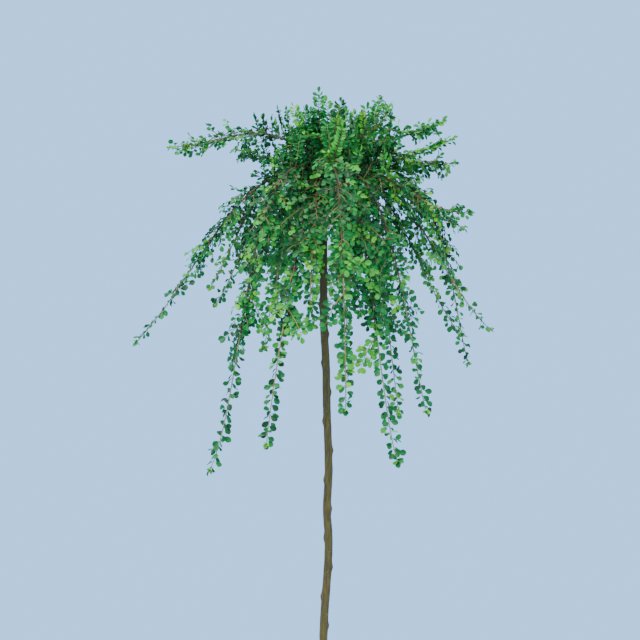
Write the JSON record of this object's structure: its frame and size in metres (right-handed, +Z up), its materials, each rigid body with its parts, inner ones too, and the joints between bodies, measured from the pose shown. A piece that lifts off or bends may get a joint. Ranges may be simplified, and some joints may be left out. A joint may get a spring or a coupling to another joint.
{
  "type": "cotoneaster congestus standard",
  "caption": "Weeping evergreen shrub grafted on a slender bare stem, with arching whips of small round leaves, cut flat at ground level.",
  "frame": {"origin": "middle of the flat cut under the trunk, at ground level", "axes": "+Z up along the trunk, -Y towards the viewer of the picture, +X to the right in the picture"},
  "size_m": [0.6264, 0.5257, 1.1436],
  "materials": {
    "bark": "smooth olive-brown bark with fine lenticels",
    "bough_bark": "thin red-brown bark of young shoots",
    "foliage": "small leathery leaves, glossy dark green, paler when young"
  },
  "bodies": {
    "root": {"trunk": "bark", "bough_far_left_high": "bough_bark", "bough_left_high_inner": "bough_bark", "bough_far_left_low": "bough_bark", "bough_back_left_outer": "bough_bark", "bough_back_left_inner": "bough_bark", "bough_front_left_long": "bough_bark", "bough_back_left_mid": "bough_bark", "bough_front_left_mid": "bough_bark", "bough_back_short": "bough_bark", "bough_front_mid": "bough_bark", "bough_back_mid": "bough_bark", "bough_front_right_long": "bough_bark", "bough_back_right_long": "bough_bark", "bough_front_right_mid": "bough_bark", "bough_right_low": "bough_bark", "bough_back_right_low": "bough_bark", "bough_far_right_low": "bough_bark", "bough_right_shoulder": "bough_bark", "bough_right_mid": "bough_bark", "bough_right_high": "bough_bark", "bough_right_upper": "bough_bark", "bough_topmost": "bough_bark", "bough_top_far_right": "bough_bark", "foliage_far_left_high": "foliage", "foliage_left_high_inner": "foliage", "foliage_far_left_low": "foliage", "foliage_back_left_outer": "foliage", "foliage_back_left_inner": "foliage", "foliage_front_left_long": "foliage", "foliage_back_left_mid": "foliage", "foliage_front_left_mid": "foliage", "foliage_back_short": "foliage", "foliage_front_mid": "foliage", "foliage_back_mid": "foliage", "foliage_front_right_long": "foliage", "foliage_back_right_long": "foliage", "foliage_front_right_mid": "foliage", "foliage_right_low": "foliage", "foliage_back_right_low": "foliage", "foliage_far_right_low": "foliage", "foliage_right_shoulder": "foliage", "foliage_right_mid": "foliage", "foliage_right_high": "foliage", "foliage_right_upper": "foliage", "foliage_topmost": "foliage", "foliage_top_far_right": "foliage", "foliage_top_left_back": "foliage", "foliage_top_right": "foliage", "foliage_top_mid_right": "foliage", "foliage_top_mid_back": "foliage", "foliage_top_tall": "foliage", "foliage_top_left": "foliage", "foliage_skirt_left": "foliage", "foliage_skirt_front_left": "foliage", "foliage_skirt_front_right": "foliage", "foliage_skirt_back_right": "foliage", "foliage_skirt_back_left": "foliage"}
  },
  "joints": []
}
